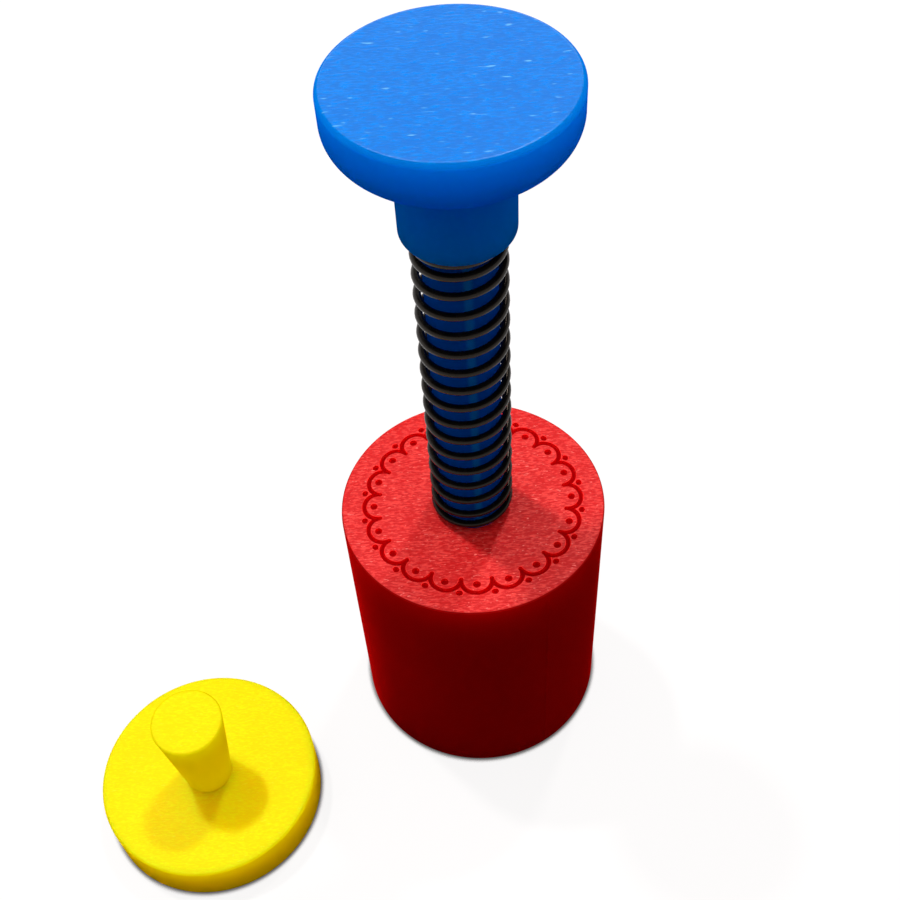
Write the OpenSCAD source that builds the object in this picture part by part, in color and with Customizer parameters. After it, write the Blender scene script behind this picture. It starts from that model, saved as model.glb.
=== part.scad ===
// Spring press for round sweets, with a loose hand stamp that fits the same mould.
// All sizes are in millimetres. The cup stands on its open mouth, centred on the origin.

/* [Mould body] */
// Outside diameter of the cup
body_d = 44; // [36:0.5:60]
// Height of the cup, from its mouth to its flat top
body_h = 52; // [42:1:70]
// Wall of the cup round the mould space
wall_t = 2; // [1.2:0.1:4]
// Thickness of the flat top that guides the rod
guide_h = 14; // [6:0.5:18]
// Clearance round the rod in its guide
guide_gap = 0.3; // [0.15:0.05:0.5]
// Round on the outer edges of the printed pieces
edge_r = 0.4; // [0.2:0.1:0.8]

/* [Plunger] */
// Diameter of the rod
rod_d = 10.4; // [7:0.1:12]
// Chamfer on the rod's two ends
rod_chamfer = 0.6; // [0.2:0.1:1]
// Glue gap round each end of the rod, and round the grip's tenon
glue_gap = 0.05; // [0.02:0.01:0.15]
// Diameter of the knob
knob_d = 32; // [27:0.5:44]
// Thickness of the knob
knob_h = 8.1; // [6.5:0.1:14]
// Round on the knob's upper edge
knob_edge = 0.8; // [0.3:0.1:1.4]
// Round on the knob's lower edge
knob_round = 4; // [1:0.5:5]
// Height of the hub below the knob
hub_h = 14; // [8:0.1:24]
// How far the hub stands out past the spring
hub_lip = 1.2; // [0.4:0.1:2]
// Fillet between the hub and the knob
hub_fillet = 0.8; // [0.2:0.1:1.5]
// Depth of the rod's socket in the hub
hub_socket = 11; // [6:0.5:13]

/* [Return spring] */
// Distance from the cup's top to the hub when the press is at rest
spring_h = 59.4; // [44:0.1:70]
// Diameter of the wire
wire_d = 1.2; // [0.8:0.1:1.6]
// Clearance between the coils and the rod
coil_gap = 0.3; // [0.25:0.05:1]
// Number of turns, end to end
turns = 17; // [10:0.25:20]
// Closed turns at each end
closed_turns = 0.5; // [0.5:0.25:1.5]
// Turns over which the closed end opens to the full pitch
opening_turns = 1.5; // [0.5:0.25:2]
// Gap between a closed turn and the next
closed_gap = 0.55; // [0.45:0.05:0.8]
// Gap between the spring's ends and the faces that they press on
seat_gap = 0.1; // [0.05:0.05:0.3]
// Direction in which the wire's lower end points
wire_start = 10; // [0:5:360]

/* [Press die] */
// Thickness of the die inside the cup
die_h = 8; // [8:0.5:14]
// Clearance between the die and the cup's wall
die_gap = 0.4; // [0.2:0.05:0.8]
// Depth of the rod's socket in the die
die_socket = 5; // [3:0.5:6]
// Petals in the die's rosette
die_petals = 8; // [5:1:12]

/* [Hand stamp] */
// Thickness of the stamp's disc
stamp_h = 8.5; // [6.5:0.1:12]
// Clearance of the stamp's disc in the cup
stamp_gap = 0.5; // [0.2:0.05:1]
// Petals in the stamp's rosette
stamp_petals = 6; // [5:1:12]
// Height of the grip above the disc
grip_h = 19.7; // [14:0.1:40]
// Diameter of the grip at its top
grip_top_d = 12.4; // [10:0.1:20]
// Diameter of the grip at the disc
grip_base_d = 8.3; // [7.5:0.1:14]
// Diameter of the grip's tenon
tenon_d = 5; // [3:0.5:6]
// Depth of the tenon in the disc
tenon_h = 4; // [2:0.5:4.5]
// Free space between the cup and the stamp beside it
stamp_apart = 15.5; // [5:0.5:60]
// Direction from the cup to the stamp
stamp_turn = 206.9; // [0:0.1:360]

/* [Rosette relief] */
// Depth of the relief in the die and in the stamp
relief_depth = 1.2; // [0.6:0.1:1.6]
// Flat rim left outside the relief
relief_rim = 2.4; // [1.2:0.1:4]
// Flat land left between the eye and the petals
petal_gap = 0.9; // [0.5:0.1:1.5]
// Share of the room between its neighbours that a petal takes up
petal_fill = 0.8; // [0.6:0.05:0.9]
// Diameter of the round eye in the middle
eye_d = 4; // [2:0.2:6]
// Diameter of the bead between two petal tips
bead_d = 2.2; // [1:0.1:3]

/* [Hidden] */
$fn = 96;

// Overshoot of a cut past the face that it opens
cut = 1;

// Heights of the press at rest, from the cup's mouth up
cavity_h = body_h - guide_h;
die_face_z = cavity_h - die_h;
hub_end_z = body_h + spring_h;
knob_z = hub_end_z + hub_h;
rod_bottom_z = cavity_h - die_socket;
rod_top_z = hub_end_z + hub_socket;

// Diameters and radii that fit one another
bore_d = body_d - 2 * wall_t;
die_d = bore_d - 2 * die_gap;
stamp_d = bore_d - 2 * stamp_gap;
coil_r = rod_d / 2 + coil_gap + wire_d / 2;
hub_r = coil_r + wire_d / 2 + hub_lip;

// Pitch of the closed ends, and the pitch between them that fills the spring's height
closed_pitch = wire_d + closed_gap;
wire_rise = spring_h - wire_d - 2 * seat_gap;
open_turns = turns - 2 * closed_turns - opening_turns;
open_pitch = closed_pitch + (wire_rise - closed_pitch * turns) / open_turns;
coil_rings = 16;
coil_sides = 8;
ring_count = round(turns * coil_rings);

// Travel that brings the die's face level with the mouth, unless the spring closes first
travel = min(die_face_z, spring_h - turns * wire_d);

// Share of the turns up to t that stand open, with a steady rise from the closed end
function opened_from_end(t) =
    t <= closed_turns ? 0 :
    t <= closed_turns + opening_turns ? pow(t - closed_turns, 2) / (2 * opening_turns) :
    t - closed_turns - opening_turns / 2;
function opened(t) =
    t < turns / 2 ? opened_from_end(t) : open_turns - opened_from_end(turns - t);
function wire_z(t) =
    body_h + seat_gap + wire_d / 2 + closed_pitch * t + (open_pitch - closed_pitch) * opened(t);

// A point on the wire's section, with the section standing upright on the coil
function wire_point(t, side_angle) =
    let (reach = coil_r + wire_d / 2 * cos(side_angle), turn = wire_start + 360 * t)
    [reach * cos(turn), reach * sin(turn), wire_z(t) + wire_d / 2 * sin(side_angle)];
function wire_centre(t) =
    let (turn = wire_start + 360 * t)
    [coil_r * cos(turn), coil_r * sin(turn), wire_z(t)];

// The least gap between two turns, measured between the wire's centres one turn apart
function turn_gaps() = [
    for (ring = [0 : ring_count - coil_rings], near = [-2 : 2])
        let (next = min(ring + coil_rings + near, ring_count))
        norm(wire_centre(next * turns / ring_count) - wire_centre(ring * turns / ring_count)) - wire_d
];

echo(least_gap_in_spring = min(turn_gaps()), pitch = open_pitch, plunger_travel = travel);

// What a round of radius r takes off a square corner, with the round's centre at the origin
module corner_waste(r) {
    difference() {
        square(r + cut);
        circle(r);
    }
}

// A half section, to be turned about the axis, of a round plate with its two outer edges rounded
module plate_section(r, h, lower_round, upper_round) {
    difference() {
        square([r, h]);
        translate([r - upper_round, h - upper_round]) corner_waste(upper_round);
        translate([r - lower_round, lower_round]) mirror([0, 1]) corner_waste(lower_round);
    }
}

// One petal along +X: a lens of two arcs that meet in a point at each end
module petal(inner_x, outer_x, width) {
    length = outer_x - inner_x;
    arc_r = (length * length + width * width) / (4 * width);
    translate([(inner_x + outer_x) / 2, 0]) intersection() {
        translate([0, arc_r - width / 2]) circle(arc_r);
        translate([0, width / 2 - arc_r]) circle(arc_r);
    }
}

// A round flower of petals with an eye and a bead between each two tips
module rosette(petals, reach) {
    step = 360 / petals;
    inner_x = eye_d / 2 + petal_gap;
    width = petal_fill * (reach - inner_x) * tan(step / 2);
    circle(d = eye_d);
    for (i = [0 : petals - 1]) {
        rotate(i * step) petal(inner_x, reach, width);
        rotate((i + 0.5) * step) translate([reach - bead_d / 2, 0]) circle(d = bead_d);
    }
}

// The relief that a die or stamp of diameter d holds in its lower face
module relief(petals, d) {
    translate([0, 0, -cut]) linear_extrude(relief_depth + cut) rosette(petals, d / 2 - relief_rim);
}

module at_stamp() {
    rotate(stamp_turn) translate([body_d / 2 + stamp_apart + stamp_d / 2, 0, 0]) rotate(-stamp_turn) children();
}

module mould_body() {
    color("red") difference() {
        rotate_extrude() plate_section(body_d / 2, body_h, edge_r, edge_r);
        translate([0, 0, -cut]) cylinder(d = bore_d, h = cavity_h + cut);
        cylinder(d = rod_d + 2 * guide_gap, h = body_h + cut);
    }
}

module plunger_knob() {
    color("dodgerblue") difference() {
        rotate_extrude() {
            translate([0, knob_z]) plate_section(knob_d / 2, knob_h, knob_round, knob_edge);
            translate([0, hub_end_z]) difference() {
                square([hub_r, hub_h + cut]);
                translate([hub_r - edge_r, edge_r]) mirror([0, 1]) corner_waste(edge_r);
            }
            translate([hub_r + hub_fillet, knob_z - hub_fillet]) difference() {
                translate([-hub_fillet - cut, 0]) square([hub_fillet + cut, hub_fillet + cut]);
                circle(hub_fillet);
            }
        }
        translate([0, 0, hub_end_z - cut]) cylinder(d = rod_d + 2 * glue_gap, h = hub_socket + cut);
    }
}

module plunger_rod() {
    color("mediumblue") rotate_extrude() polygon([
        [0, rod_bottom_z],
        [rod_d / 2 - rod_chamfer, rod_bottom_z],
        [rod_d / 2, rod_bottom_z + rod_chamfer],
        [rod_d / 2, rod_top_z - rod_chamfer],
        [rod_d / 2 - rod_chamfer, rod_top_z],
        [0, rod_top_z]
    ]);
}

module press_die() {
    color("royalblue") translate([0, 0, die_face_z]) difference() {
        rotate_extrude() plate_section(die_d / 2, die_h, edge_r, edge_r);
        relief(die_petals, die_d);
        translate([0, 0, die_h - die_socket]) cylinder(d = rod_d + 2 * glue_gap, h = die_socket + cut);
    }
}

// One unbroken tube along the helix, closed by a fan of triangles at each end
module return_spring() {
    points = [
        for (ring = [0 : ring_count], side = [0 : coil_sides - 1])
            wire_point(ring * turns / ring_count, side * 360 / coil_sides)
    ];
    last = ring_count * coil_sides;
    faces = concat(
        [
            for (ring = [0 : ring_count - 1], side = [0 : coil_sides - 1], half = [0, 1])
                let (
                    here = ring * coil_sides,
                    next = (side + 1) % coil_sides,
                    a = here + side,
                    b = here + next,
                    c = here + coil_sides + next,
                    d = here + coil_sides + side
                )
                half == 0 ? [a, b, c] : [a, c, d]
        ],
        [for (side = [1 : coil_sides - 2]) [0, side + 1, side]],
        [for (side = [1 : coil_sides - 2]) [last, last + side, last + side + 1]]
    );
    color("dimgray") polyhedron(points, faces);
}

module stamp_disc() {
    color("yellow") at_stamp() difference() {
        rotate_extrude() plate_section(stamp_d / 2, stamp_h, edge_r, edge_r);
        relief(stamp_petals, stamp_d);
        translate([0, 0, stamp_h - tenon_h]) cylinder(d = tenon_d + 2 * glue_gap, h = tenon_h + cut);
    }
}

module stamp_grip() {
    color("gold") at_stamp() translate([0, 0, stamp_h]) rotate_extrude() {
        translate([0, -tenon_h]) square([tenon_d / 2, tenon_h + cut]);
        difference() {
            polygon([[0, 0], [grip_base_d / 2, 0], [grip_top_d / 2, grip_h], [0, grip_h]]);
            translate([grip_top_d / 2 - edge_r, grip_h - edge_r]) corner_waste(edge_r);
        }
    }
}

mould_body();
plunger_knob();
plunger_rod();
press_die();
return_spring();
stamp_disc();
stamp_grip();
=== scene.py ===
"""Looks of a spring press for round sweets and of its loose hand stamp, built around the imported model."""
import math

import bpy
from mathutils import Matrix, Vector


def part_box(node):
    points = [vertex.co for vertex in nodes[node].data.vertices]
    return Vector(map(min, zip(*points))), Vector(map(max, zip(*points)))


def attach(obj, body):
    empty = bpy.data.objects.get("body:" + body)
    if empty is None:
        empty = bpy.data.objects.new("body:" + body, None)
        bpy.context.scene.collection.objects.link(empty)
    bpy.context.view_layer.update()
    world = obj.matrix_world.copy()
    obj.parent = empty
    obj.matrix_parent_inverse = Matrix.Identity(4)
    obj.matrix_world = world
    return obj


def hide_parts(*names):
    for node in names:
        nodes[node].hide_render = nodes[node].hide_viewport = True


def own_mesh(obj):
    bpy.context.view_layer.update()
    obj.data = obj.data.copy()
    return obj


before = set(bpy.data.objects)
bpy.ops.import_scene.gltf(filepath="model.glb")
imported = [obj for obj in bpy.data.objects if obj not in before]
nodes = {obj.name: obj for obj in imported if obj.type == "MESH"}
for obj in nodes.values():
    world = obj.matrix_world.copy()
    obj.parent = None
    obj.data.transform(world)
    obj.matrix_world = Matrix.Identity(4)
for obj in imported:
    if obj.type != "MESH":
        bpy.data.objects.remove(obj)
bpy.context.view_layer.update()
scene = bpy.context.scene

MM = 0.001

# Camera, in the picture of IMAGE_SIDE pixels a side, with its sensor's width in millimetres
IMAGE_SIDE = 900
FOCAL_PIXELS = 1250.3
SENSOR = 36.0
CAMERA_PLACE = Vector((0.0, -126.12, 219.15)) * MM
CAMERA_YAW = math.radians(-1.645)
CAMERA_PITCH = math.radians(52.405)
CAMERA_ROLL = math.radians(-4.382)
CAMERA_SHIFT_Y = 0.045
CLIP_START = 10 * MM

# Sizes of the press that the frame's boxes don't give, and the angle from which an edge of the cup is sharp
EDGE_ROUND = 0.4 * MM
WALL = 2.0 * MM
GUIDE_HEIGHT = 14.0 * MM
GUIDE_RADIUS = 5.5 * MM
CUP_CREASE = math.radians(35)

# Seam down the cup's wall where each printed layer begins
SEAM_ANGLE = math.radians(301)
SEAM_HALF_WIDTH = 0.4 * MM
SEAM_HEIGHT = 0.08 * MM
SEAM_FADE = 2.0 * MM

# Ornament cut into the flat top of the cup: a chain of arches with dots
ARCHES = 20
ARCH_FOOT = 15.7 * MM
STROKE = 0.62 * MM
GROOVE_DEPTH = 0.5 * MM
GROOVE_SOFTNESS = 0.2 * MM
INNER_DOT = (16.55 * MM, 0.54 * MM)
OUTER_DOT = (18.25 * MM, 0.43 * MM)
BORDER = (14.7 * MM, 19.3 * MM)
BORDER_RINGS = 46
SEGMENTS_PER_ARCH = 48

# Wire of the return spring
WIRE_RADIUS = 0.6 * MM
COIL_RADIUS = 6.1 * MM
TURNS = 17
CLOSED_TURNS = 0.5
OPENING_TURNS = 1.5
CLOSED_PITCH = 1.75 * MM
WIRE_START = math.radians(10)
RINGS_PER_TURN = 48
WIRE_SIDES = 14
WIRE_CREASE = math.radians(50)

# How far up a face of plastic looks, from 0 to 1, where a side turns to an edge, an edge turns to a top, and
# a top takes its gloss. Each of these takes a colour of its own for how it is lit: painted shade on the
# sides of the red cup and the yellow disc, painted light on the sides of the blue knob and the yellow grip,
# and a painted highlight on the edges
UPWARD = (0.1, 0.45)
LEVEL = (0.8, 0.97)
GLOSSY = (0.92, 0.99)

# Grain of the printed tops, drawn out along X, and the noise over which its dark turns to light
GRAIN_STRETCH = (3.2, 1.0, 1.0)
GRAIN_DETAIL = 3.0
GRAIN_RANGE = (0.42, 0.68)

# Broad patches of the printed tops, and their share in the shade
PATCH_SIZE = 5.0 * MM
PATCH_SHARE = 0.15

# Painted glints on the printed tops: the noise over which they fade in, and where that noise starts, off the
# grain's
GLINT_DETAIL = 1.0
GLINT_FADE = 0.12
GLINT_START = (40 * MM, 0, 0)

# Printed layers of the sides, and how high they stand beside the grain of the tops
LAYER_HEIGHT = 0.2 * MM
LAYER_STRETCH = (60, 60, 1)
LAYER_RELIEF = 0.1

# Depth below the cup's top at which the ornament's painted shade begins, and the height that it fades over
SUNK_START = 0.02 * MM
SUNK_FADE = 0.12 * MM

# Painted reflection, a paler line down the rod's front: its place along X, and how far off it fades out
ROD_REFLECTION_X = 0.9 * MM
ROD_REFLECTION_FADE = (0.2 * MM, 0.9 * MM)

# Roughness of the plastic and of the wire, each from the low end to the high end of a noise
ROUGHNESS_NOISE = (0.3, 0.7)
PLASTIC_ROUGHNESS = (0.4, 0.26)
WIRE_ROUGHNESS = (0.2, 0.3)
SHEEN_ROUGHNESS = 0.4

# Oil film on the wire, and the scratches from drawing it
OIL_SIZE = 1.5 * MM
OIL_DETAIL = 4.0
OIL_RANGE = (0.35, 0.7)
WIRE_SPECULAR = 0.24
SCRATCH_SIZE = 0.12 * MM
SCRATCH_STRETCH = (8, 8, 1)
SCRATCH_DEPTH = 0.02 * MM
SCRATCH_STRENGTH = 0.3

# How much finer noise counts beside the coarser
NOISE_ROUGHNESS = 0.55

# Floor: its reach, its grey as seen and as it lights the object, and its glow from near to far
FLOOR_REACH = 4.0
FLOOR_SEEN = (0.14, 0.14, 0.14, 1.0)
FLOOR_UNSEEN = (0.05, 0.05, 0.05, 1.0)
FLOOR_FADE = (0.2, 0.9)
FLOOR_GLOW = (0.88, 1.0)

# Painted contact shadow, a dark line on the floor under the edge of what stands on it: its reach, how open
# the floor is over it, and its share of the floor's glow
CONTACT_REACH = 1.8 * MM
CONTACT_OPENNESS = (0.5, 0.8)
CONTACT_GLOW = 0.1

# How the surround's light gathers overhead, and to the left and right
OVERHEAD_POWER = 1.0
SIDEWAYS_POWER = 4.0

# Height's sine over which the surround, as seen, turns from white to dark, and how bright that dark is
DARK_FROM = (0.36, 0.55)
DARK_GLOW = 0.05

# Tints of the lamps, and of the light that the surround throws on the object
LAMP_TINT = (1.07, 1.0, 0.97)
SURROUND_TINT = (1.2, 1.0, 0.97, 1.0)
WHITE = (1.0, 1.0, 1.0, 1.0)


def smooth_step(share):
    """A soft rise from 0 to 1 as share goes from 0 to 1."""
    share = min(max(share, 0.0), 1.0)
    return share * share * (3 - 2 * share)


def new_piece(name, vertices, faces, body, node):
    """A mesh that rides on a body and stands for a node of the frame."""
    mesh = bpy.data.meshes.new(name)
    mesh.from_pydata(vertices, [], faces)
    piece = bpy.data.objects.new(name, mesh)
    scene.collection.objects.link(piece)
    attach(piece, body)
    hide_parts(node)
    return piece


def shade_by_angle(mesh, angle):
    """Smooth faces, with a crease along each edge that turns by more than the angle."""
    mesh.shade_smooth()
    mesh.set_sharp_from_angle(angle=angle)


def quarter_round(centre_r, centre_z, radius, start, steps=6):
    """Points (r, z) of a clockwise quarter circle that begins at the start angle."""
    angles = [start - math.pi / 2 * i / steps for i in range(steps + 1)]
    return [(centre_r + radius * math.cos(a), centre_z + radius * math.sin(a)) for a in angles]


def groove_depth(radius, turn):
    """How deep the ornament lies at a point of the cup's top."""
    cell = 2 * math.pi / ARCHES
    offset = (turn + cell / 2) % cell - cell / 2
    across = ARCH_FOOT * offset
    arch_radius = ARCH_FOOT * cell / 2
    out = radius - ARCH_FOOT
    if out > 0:
        from_arch = abs(math.hypot(across, out) - arch_radius)
    else:
        from_arch = math.hypot(abs(across) - arch_radius, out)
    half_cell = arch_radius - abs(across)
    edges = [
        STROKE / 2 - from_arch,
        INNER_DOT[1] - math.hypot(across, radius - INNER_DOT[0]),
        OUTER_DOT[1] - math.hypot(half_cell, radius - OUTER_DOT[0]),
    ]
    return GROOVE_DEPTH * smooth_step(max(edges) / GROOVE_SOFTNESS + 0.5)


def seam_height(turn, wall_radius):
    """How far the seam stands out from the cup's wall in this direction."""
    off_line = abs(math.remainder(turn - SEAM_ANGLE, 2 * math.pi)) * wall_radius
    return SEAM_HEIGHT * smooth_step(1 - off_line / SEAM_HALF_WIDTH)


def make_cup():
    """The cup, turned from its section, with the ornament sunk into its top and a seam down its wall."""
    low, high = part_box("mould_body")
    outer, top = high.x, high.z
    ceiling = top - GUIDE_HEIGHT
    bore = outer - WALL
    inner_edge, outer_edge = BORDER
    border = [
        (inner_edge + (outer_edge - inner_edge) * i / BORDER_RINGS, top) for i in range(BORDER_RINGS + 1)
    ]
    shoulder = outer - EDGE_ROUND
    seam_top = top - EDGE_ROUND - SEAM_FADE
    seam_foot = low.z + EDGE_ROUND + SEAM_FADE
    section = [
        (GUIDE_RADIUS, top), *border,
        *quarter_round(shoulder, top - EDGE_ROUND, EDGE_ROUND, math.pi / 2),
        (outer, seam_top), (outer, seam_foot),
        *quarter_round(shoulder, low.z + EDGE_ROUND, EDGE_ROUND, 0.0),
        (bore, low.z), (bore, ceiling), (GUIDE_RADIUS, ceiling),
    ]
    segments = ARCHES * SEGMENTS_PER_ARCH
    vertices = []
    for step in range(segments):
        turn = 2 * math.pi * step / segments
        for r, z in section:
            on_border = z == top and inner_edge <= r <= outer_edge
            depth = groove_depth(r, turn) if on_border else 0.0
            reach = r + seam_height(turn, outer) if z in (seam_top, seam_foot) else r
            vertices.append((reach * math.cos(turn), reach * math.sin(turn), z - depth))
    count = len(section)
    faces = []
    for step in range(segments):
        here, there = step * count, (step + 1) % segments * count
        for i in range(count):
            j = (i + 1) % count
            faces.append((here + i, here + j, there + j, there + i))
    cup = new_piece("mould_cup", vertices, faces, "press_body", "mould_body")
    shade_by_angle(cup.data, CUP_CREASE)
    return cup


def opened_turns(turn):
    """How many turns' worth of the full opening the wire has gained by this turn, from the nearer end."""
    past = turn - CLOSED_TURNS
    if past <= 0:
        return 0.0
    if past <= OPENING_TURNS:
        return past * past / (2 * OPENING_TURNS)
    return past - OPENING_TURNS / 2


def make_spring():
    """The return spring, one smooth wire closed at both ends; the real one shortens as the plunger goes
    down.
    """
    low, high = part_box("return_spring")
    open_turns = TURNS - 2 * CLOSED_TURNS - OPENING_TURNS
    rise = high.z - low.z - 2 * WIRE_RADIUS
    extra = (rise - CLOSED_PITCH * TURNS) / open_turns

    def centre_height(turn):
        if turn < TURNS / 2:
            opened = opened_turns(turn)
        else:
            opened = open_turns - opened_turns(TURNS - turn)
        return low.z + WIRE_RADIUS + CLOSED_PITCH * turn + extra * opened

    rings = TURNS * RINGS_PER_TURN
    vertices = []
    for ring in range(rings + 1):
        turn = TURNS * ring / rings
        angle = WIRE_START + 2 * math.pi * turn
        for side in range(WIRE_SIDES):
            lean = 2 * math.pi * side / WIRE_SIDES
            reach = COIL_RADIUS + WIRE_RADIUS * math.cos(lean)
            height = centre_height(turn) + WIRE_RADIUS * math.sin(lean)
            vertices.append((reach * math.cos(angle), reach * math.sin(angle), height))
    faces = []
    for ring in range(rings):
        here, there = ring * WIRE_SIDES, (ring + 1) * WIRE_SIDES
        for side in range(WIRE_SIDES):
            next_side = (side + 1) % WIRE_SIDES
            faces.append((here + side, here + next_side, there + next_side, there + side))
    last = rings * WIRE_SIDES
    faces.append(tuple(range(WIRE_SIDES - 1, -1, -1)))
    faces.append(tuple(range(last, last + WIRE_SIDES)))
    spring = new_piece("coil_spring", vertices, faces, "press_body", "return_spring")
    shade_by_angle(spring.data, WIRE_CREASE)
    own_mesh(spring)
    return spring


def add_node(tree, kind, values=None, **settings):
    """A shader node with its settings, and with a value or another node's output on each input given."""
    made = tree.nodes.new(kind)
    for name, value in settings.items():
        setattr(made, name, value)
    for name, value in (values or {}).items():
        if isinstance(value, bpy.types.NodeSocket):
            tree.links.new(value, made.inputs[name])
        else:
            made.inputs[name].default_value = value
    return made


def noise(tree, place, period, stretch=(1, 1, 1), detail=2.0, start=(0, 0, 0)):
    """Noise from 0 to 1 whose grains are about a period long, drawn out along an axis by its stretch."""
    scale = [1 / (period * s) for s in stretch]
    origin = [begin * factor for begin, factor in zip(start, scale)]
    spread = add_node(tree, "ShaderNodeMapping", {"Vector": place, "Location": origin, "Scale": scale})
    grains = add_node(tree, "ShaderNodeTexNoise", {
        "Vector": spread.outputs["Vector"], "Scale": 1.0, "Detail": detail, "Roughness": NOISE_ROUGHNESS,
    })
    return grains.outputs["Fac"]


def ranged(tree, value, low, high, to_low=0.0, to_high=1.0):
    """A value carried softly from one range to another."""
    made = add_node(tree, "ShaderNodeMapRange", {
        "Value": value, "From Min": low, "From Max": high, "To Min": to_low, "To Max": to_high,
    }, interpolation_type="SMOOTHSTEP")
    return made.outputs["Result"]


def maths(tree, operation, first, second=0.0):
    """One sum on two values, or on the first alone where the operation takes one."""
    made = add_node(tree, "ShaderNodeMath", {0: first, 1: second}, operation=operation)
    return made.outputs["Value"]


def mixed(tree, share, first, second, kind="Color"):
    """Two colours, vectors or numbers, mixed by a share."""
    made = tree.nodes.new("ShaderNodeMix")
    made.data_type = {"Color": "RGBA", "Vector": "VECTOR", "Float": "FLOAT"}[kind]
    sockets = {"Factor_Float": share, "A_" + kind: first, "B_" + kind: second}
    for socket in made.inputs:
        if socket.identifier not in sockets:
            continue
        value = sockets[socket.identifier]
        if isinstance(value, bpy.types.NodeSocket):
            tree.links.new(value, socket)
        else:
            socket.default_value = value
    return next(s for s in made.outputs if s.identifier == "Result_" + kind)


def new_material(name):
    """A material with nothing in its tree but the output."""
    material = bpy.data.materials.new(name)
    material.use_nodes = True
    tree = material.node_tree
    tree.nodes.clear()
    output = tree.nodes.new("ShaderNodeOutputMaterial")
    return material, tree, output


def linear(red, green, blue):
    """A colour given as it looks on screen, 0 to 255, as the shader takes it."""
    def channel(value):
        value /= 255
        return value / 12.92 if value <= 0.04045 else ((value + 0.055) / 1.055) ** 2.4
    return (channel(red), channel(green), channel(blue), 1.0)


def top_grain_and_glints(tree, place, strokes, top, painted_glint):
    """The two colours of a printed top, mixed by its grain and broad patches, with painted glints on them.
    """
    grain = maths(tree, "MULTIPLY", strokes, 1 - PATCH_SHARE)
    patches = maths(tree, "MULTIPLY", noise(tree, place, PATCH_SIZE), PATCH_SHARE)
    shade = ranged(tree, maths(tree, "ADD", grain, patches), *GRAIN_RANGE)
    glint_colour, glint_size, glint_from = painted_glint
    dashes = noise(tree, place, glint_size, GRAIN_STRETCH, GLINT_DETAIL, GLINT_START)
    on_glint = ranged(tree, dashes, glint_from, glint_from + GLINT_FADE)
    return mixed(tree, on_glint, mixed(tree, shade, *top), glint_colour)


def on_rod_reflection(tree, spot):
    """1 on the painted reflection down the rod's front and 0 off it, where spot holds a point's X, Y and Z.
    """
    off_line = maths(tree, "ABSOLUTE", maths(tree, "SUBTRACT", spot["X"], ROD_REFLECTION_X))
    in_front = maths(tree, "LESS_THAN", spot["Y"], 0.0)
    return maths(tree, "MULTIPLY", ranged(tree, off_line, *ROD_REFLECTION_FADE, 1.0, 0.0), in_front)


def printed_plastic(
    name, side, top, edge_highlight, painted_glint, glow, gloss, grain, sunk=None, sheen=(0.0, WHITE), seam=None,
):
    """Printed plastic with smooth dull sides, and a top with a drawn-out grain that catches the lamps.

    The side is a colour set for how the sides are lit: painted shade on some parts and painted light on
    others. The edge_highlight is a painted highlight on the rounded edges, and the top is the two colours of
    its grain. The painted_glint is the colour, size and noise above which painted glints show. The glow is
    how far light of each colour spreads inside, in millimetres, behind the sides and below the top. The
    gloss is the top's, the grain is its size and depth, and sunk is the painted shade below a level, and
    that level.
    The sheen is the strength and colour of the light that the printed layers catch at a glancing angle, and
    the seam is the colour of the painted reflection down the rod's front.
    """
    material, tree, output = new_material(name)
    coordinates = tree.nodes.new("ShaderNodeTexCoord")
    place = coordinates.outputs["Object"]
    spot = add_node(tree, "ShaderNodeSeparateXYZ", {"Vector": place}).outputs
    facing = add_node(tree, "ShaderNodeSeparateXYZ", {"Vector": coordinates.outputs["Normal"]}).outputs["Z"]
    upward = ranged(tree, facing, *UPWARD)
    level = ranged(tree, facing, *LEVEL)

    grain_size, grain_depth = grain
    strokes = noise(tree, place, grain_size, GRAIN_STRETCH, GRAIN_DETAIL)
    # Painted reflection: a paler line down the rod's front
    if seam is not None:
        side = mixed(tree, on_rod_reflection(tree, spot), side, seam)
    # Painted highlight on the rounded edges, between the side's colour and the top's
    top_and_edge_highlight = mixed(tree, level, edge_highlight, top_grain_and_glints(tree, place, strokes, top, painted_glint))
    # Sides, edges and tops in colours of their own for how each is lit: painted shade, painted light and
    # painted highlight
    colour = mixed(tree, upward, side, top_and_edge_highlight)
    shine = ranged(tree, facing, *GLOSSY, 0.0, gloss)
    # Painted shade in the ornament's grooves: a darker colour below the top, and no gloss there
    if sunk is not None:
        groove_shade, sunk_level = sunk
        below = ranged(tree, spot["Z"], sunk_level - SUNK_FADE, sunk_level, 1.0, 0.0)
        below = maths(tree, "MULTIPLY", below, upward)
        colour = mixed(tree, below, colour, groove_shade)
        shine = maths(tree, "MULTIPLY", shine, maths(tree, "SUBTRACT", 1.0, below))

    layers = maths(tree, "MULTIPLY", noise(tree, place, LAYER_HEIGHT, LAYER_STRETCH), LAYER_RELIEF)
    relief = maths(tree, "ADD", layers, maths(tree, "MULTIPLY", strokes, upward))
    bump = add_node(tree, "ShaderNodeBump", {"Strength": 1.0, "Distance": grain_depth, "Height": relief})
    plastic = add_node(tree, "ShaderNodeBsdfPrincipled", {
        "Base Color": colour, "Roughness": ranged(tree, strokes, *ROUGHNESS_NOISE, *PLASTIC_ROUGHNESS),
        "Normal": bump.outputs["Normal"], "Specular IOR Level": shine, "Subsurface Weight": 1.0,
        "Subsurface Radius": mixed(tree, level, *glow, kind="Vector"), "Subsurface Scale": MM,
        "Sheen Weight": sheen[0], "Sheen Tint": sheen[1], "Sheen Roughness": SHEEN_ROUGHNESS,
    }, subsurface_method="BURLEY")
    tree.links.new(plastic.outputs["BSDF"], output.inputs["Surface"])
    return material


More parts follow.
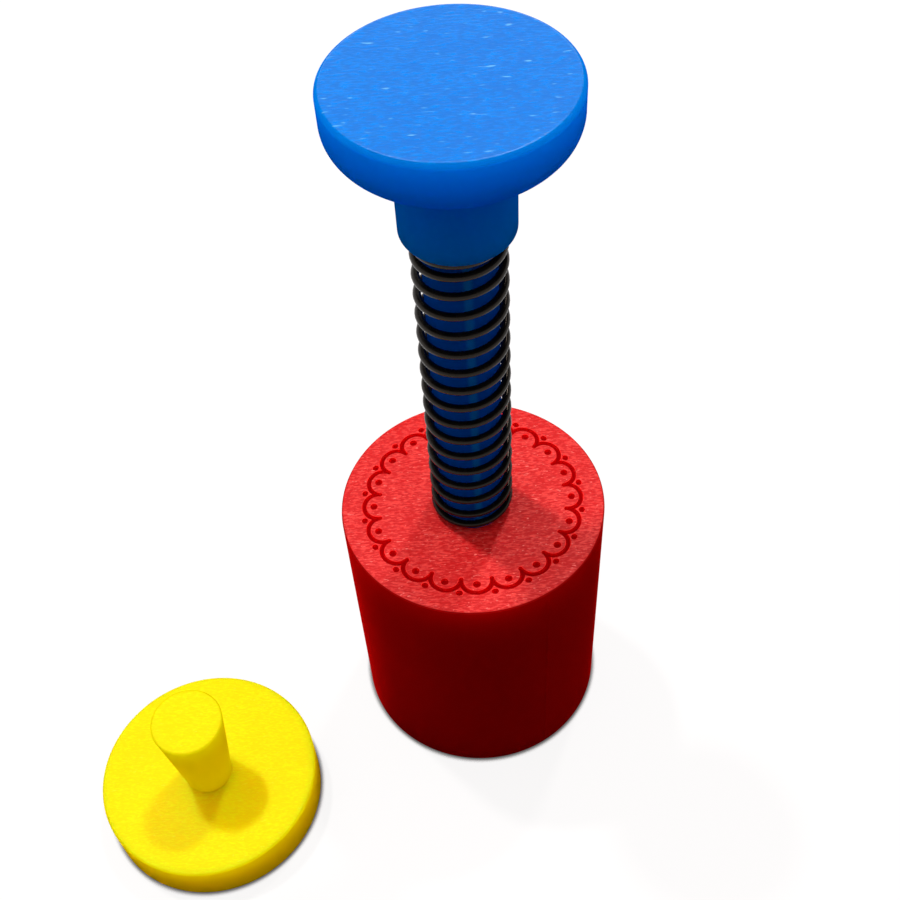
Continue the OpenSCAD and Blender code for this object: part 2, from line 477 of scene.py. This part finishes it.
def red_plastic():
    """The cup's plastic, with painted shade on its sides and in the ornament."""
    # The top's pink tint is a painted haze of the lamps' reflection, and its edge a painted highlight
    return printed_plastic(
        "red_plastic", side=linear(151, 1, 2), top=(linear(215, 20, 23), linear(248, 70, 66)),
        edge_highlight=linear(250, 66, 62), painted_glint=(linear(255, 122, 114), 0.27 * MM, 0.66),
        glow=((14.0, 0.2, 0.2), (0.6, 0.1, 0.1)), gloss=0.14, grain=(0.29 * MM, 0.12 * MM),
        sunk=(linear(158, 2, 6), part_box("mould_body")[1].z - SUNK_START),
        sheen=(0.65, linear(220, 10, 8)),
    )


def blue_plastic():
    """The plastic of the knob and of the die."""
    return printed_plastic(
        "blue_plastic", side=linear(0, 125, 255), top=(linear(0, 120, 226), linear(2, 142, 250)),
        edge_highlight=linear(2, 130, 248), painted_glint=(linear(110, 196, 255), 0.75 * MM, 0.66),
        glow=((0.3, 9.0, 16.0), (0.3, 0.6, 1.0)), gloss=0.32, grain=(0.36 * MM, 0.06 * MM),
    )


def shaded_rod_plastic():
    """The rod's plastic, a darker blue for painted shade, with a painted reflection down its front."""
    # The darker blue is painted shade, standing for the shade that the coils and the knob cast on the rod
    return printed_plastic(
        "shaded_rod_blue_plastic", side=linear(0, 86, 206), top=(linear(0, 84, 200), linear(0, 92, 210)),
        edge_highlight=linear(0, 92, 210), painted_glint=(linear(0, 100, 220), 0.4 * MM, 0.7),
        glow=((0.3, 6.0, 10.0), (0.3, 0.6, 1.0)), gloss=0.1, grain=(0.32 * MM, 0.04 * MM),
        seam=linear(10, 121, 223),
    )


def yellow_plastic(name, side, glow):
    """The hand stamp's plastic, with sides coloured for how they are lit, and how far light spreads inside
    it.
    """
    return printed_plastic(
        name, side=side, top=(linear(253, 235, 5), linear(255, 248, 10)), edge_highlight=linear(255, 240, 6),
        painted_glint=(linear(255, 247, 50), 0.3 * MM, 0.68), glow=glow, gloss=0.02, grain=(0.24 * MM, 0.05 * MM),
    )


def spring_steel():
    """Black drawn wire with a thin oil film."""
    material, tree, output = new_material("spring_steel")
    place = tree.nodes.new("ShaderNodeTexCoord").outputs["Object"]
    film = noise(tree, place, OIL_SIZE, detail=OIL_DETAIL)
    scratches = noise(tree, place, SCRATCH_SIZE, SCRATCH_STRETCH)
    bump = add_node(tree, "ShaderNodeBump", {
        "Strength": SCRATCH_STRENGTH, "Distance": SCRATCH_DEPTH, "Height": scratches,
    })
    steel = add_node(tree, "ShaderNodeBsdfPrincipled", {
        "Base Color": mixed(tree, ranged(tree, film, *OIL_RANGE), linear(5, 5, 6), linear(14, 12, 11)),
        "Roughness": ranged(tree, film, *ROUGHNESS_NOISE, *WIRE_ROUGHNESS),
        "Normal": bump.outputs["Normal"], "Specular IOR Level": WIRE_SPECULAR,
        "Specular Tint": linear(255, 236, 214),
    })
    tree.links.new(steel.outputs["BSDF"], output.inputs["Surface"])
    return material


def paint(piece, material):
    """One material on all of a piece, in the slots that it has."""
    if not piece.data.materials:
        piece.data.materials.append(material)
    for slot in piece.material_slots:
        slot.material = material


def seen_directly(tree):
    """1 for what the camera sees, also in a reflection or through glass, and 0 for light on the object."""
    path = tree.nodes.new("ShaderNodeLightPath")
    shown = maths(tree, "MAXIMUM", path.outputs["Is Camera Ray"], path.outputs["Is Glossy Ray"])
    return maths(tree, "MAXIMUM", shown, path.outputs["Is Transmission Ray"])


def make_floor():
    """A white floor that keeps the object's shadow and throws little light back on the object."""
    reach = FLOOR_REACH
    corners = [(-reach, -reach, 0), (reach, -reach, 0), (reach, reach, 0), (-reach, reach, 0)]
    mesh = bpy.data.meshes.new("floor")
    mesh.from_pydata(corners, [], [(0, 1, 2, 3)])
    floor = bpy.data.objects.new("floor", mesh)
    scene.collection.objects.link(floor)
    material, tree, output = new_material("floor")
    material.cycles.emission_sampling = "NONE"
    place = tree.nodes.new("ShaderNodeTexCoord").outputs["Object"]
    away = add_node(tree, "ShaderNodeVectorMath", {0: place}, operation="LENGTH").outputs["Value"]
    shadowed = add_node(tree, "ShaderNodeBsdfDiffuse", {"Color": FLOOR_SEEN})
    # Painted contact shadow: the floor's glow darkens where something stands close above it
    openness = add_node(tree, "ShaderNodeAmbientOcclusion", {"Distance": CONTACT_REACH}).outputs["AO"]
    painted_contact_shadow = ranged(tree, openness, *CONTACT_OPENNESS, CONTACT_GLOW, 1.0)
    bright = maths(tree, "MULTIPLY", ranged(tree, away, *FLOOR_FADE, *FLOOR_GLOW), painted_contact_shadow)
    white = add_node(tree, "ShaderNodeEmission", {"Strength": bright})
    shown = add_node(tree, "ShaderNodeAddShader", {0: shadowed.outputs[0], 1: white.outputs[0]})
    unseen = add_node(tree, "ShaderNodeBsdfDiffuse", {"Color": FLOOR_UNSEEN})
    floor_mix = add_node(tree, "ShaderNodeMixShader", {
        0: seen_directly(tree), 1: unseen.outputs[0], 2: shown.outputs[0],
    })
    tree.links.new(floor_mix.outputs[0], output.inputs["Surface"])
    paint(floor, material)


def make_world(ambient, sideways):
    """A surround that looks white and is dark overhead, and lights the object from overhead and both sides.

    Its light grows as a power of the height's sine. A level surface takes in 2 / (power + 2) of what a
    surround as bright all over as straight up would give it, so the strength makes up for that.
    """
    world = bpy.data.worlds.new("surround")
    world.use_nodes = True
    scene.world = world
    tree = world.node_tree
    direction = tree.nodes.new("ShaderNodeTexCoord").outputs["Generated"]
    parts = add_node(tree, "ShaderNodeSeparateXYZ", {"Vector": direction}).outputs
    rise = maths(tree, "MAXIMUM", parts["Z"], 0.0)
    overhead = maths(tree, "POWER", rise, OVERHEAD_POWER)
    overhead = maths(tree, "MULTIPLY", overhead, ambient * (OVERHEAD_POWER + 2) / 2)
    beside = maths(tree, "POWER", maths(tree, "ABSOLUTE", parts["X"]), SIDEWAYS_POWER)
    lighting = maths(tree, "ADD", overhead, maths(tree, "MULTIPLY", beside, sideways))
    shown = ranged(tree, rise, *DARK_FROM, 1.0, DARK_GLOW)
    seen = seen_directly(tree)
    background = tree.nodes["Background"]
    tree.links.new(mixed(tree, seen, SURROUND_TINT, WHITE), background.inputs["Color"])
    tree.links.new(mixed(tree, seen, lighting, shown, kind="Float"), background.inputs["Strength"])


def make_lamp(name, direction, share, distance=2.0, size=0.12):
    """A round lamp that gives this share of the light on a level white surface."""
    toward = Vector(direction).normalized()
    lamp = bpy.data.lights.new(name, "AREA")
    lamp.shape = "DISK"
    lamp.size = size
    lamp.color = LAMP_TINT
    lamp.energy = share * (math.pi * distance) ** 2 / toward.z
    placed = bpy.data.objects.new(name, lamp)
    placed.location = toward * distance
    placed.rotation_euler = toward.to_track_quat("Z", "Y").to_euler()
    scene.collection.objects.link(placed)


def make_camera():
    """The camera at the photograph's place, turned by its yaw, pitch and roll."""
    ahead = Vector((math.sin(CAMERA_YAW), math.cos(CAMERA_YAW), 0))
    right = Vector((math.cos(CAMERA_YAW), -math.sin(CAMERA_YAW), 0))
    ahead = ahead * math.cos(CAMERA_PITCH) - Vector((0, 0, math.sin(CAMERA_PITCH)))
    up = right.cross(ahead)
    rolled_right = right * math.cos(CAMERA_ROLL) + up * math.sin(CAMERA_ROLL)
    rolled_up = up * math.cos(CAMERA_ROLL) - right * math.sin(CAMERA_ROLL)
    turned = Matrix((rolled_right, rolled_up, -ahead)).transposed()
    data = bpy.data.cameras.new("camera")
    data.sensor_width = SENSOR
    data.lens = FOCAL_PIXELS / IMAGE_SIDE * SENSOR
    data.shift_y = CAMERA_SHIFT_Y
    data.clip_start = CLIP_START
    camera = bpy.data.objects.new("camera", data)
    camera.matrix_world = Matrix.Translation(CAMERA_PLACE) @ turned.to_4x4()
    scene.collection.objects.link(camera)
    scene.camera = camera


make_camera()
make_floor()
make_world(ambient=0.385, sideways=0.55)
make_lamp("main_lamp", (-5.61, 5.38, 20), share=0.38)
make_lamp("second_lamp", (4.19, 8.73, 20), share=0.24)

paint(make_cup(), red_plastic())
paint(make_spring(), spring_steel())
paint(nodes["plunger_rod"], shaded_rod_plastic())
knob_blue = blue_plastic()
for name in ("plunger_knob", "press_die"):
    paint(nodes[name], knob_blue)
# The disc's darker sides are painted shade, and the grip's lighter sides painted light, for how each is lit
disc_yellow = yellow_plastic(
    "disc_yellow_plastic", side=linear(252, 226, 0), glow=((20.0, 12.0, 0.1), (12.0, 2.8, 0.1)),
)
grip_yellow = yellow_plastic(
    "grip_yellow_plastic", side=linear(255, 238, 0), glow=((32.0, 19.0, 0.1), (4.0, 1.8, 0.1)),
)
paint(nodes["stamp_disc"], disc_yellow)
paint(nodes["stamp_grip"], grip_yellow)

scene.view_settings.view_transform = "Standard"
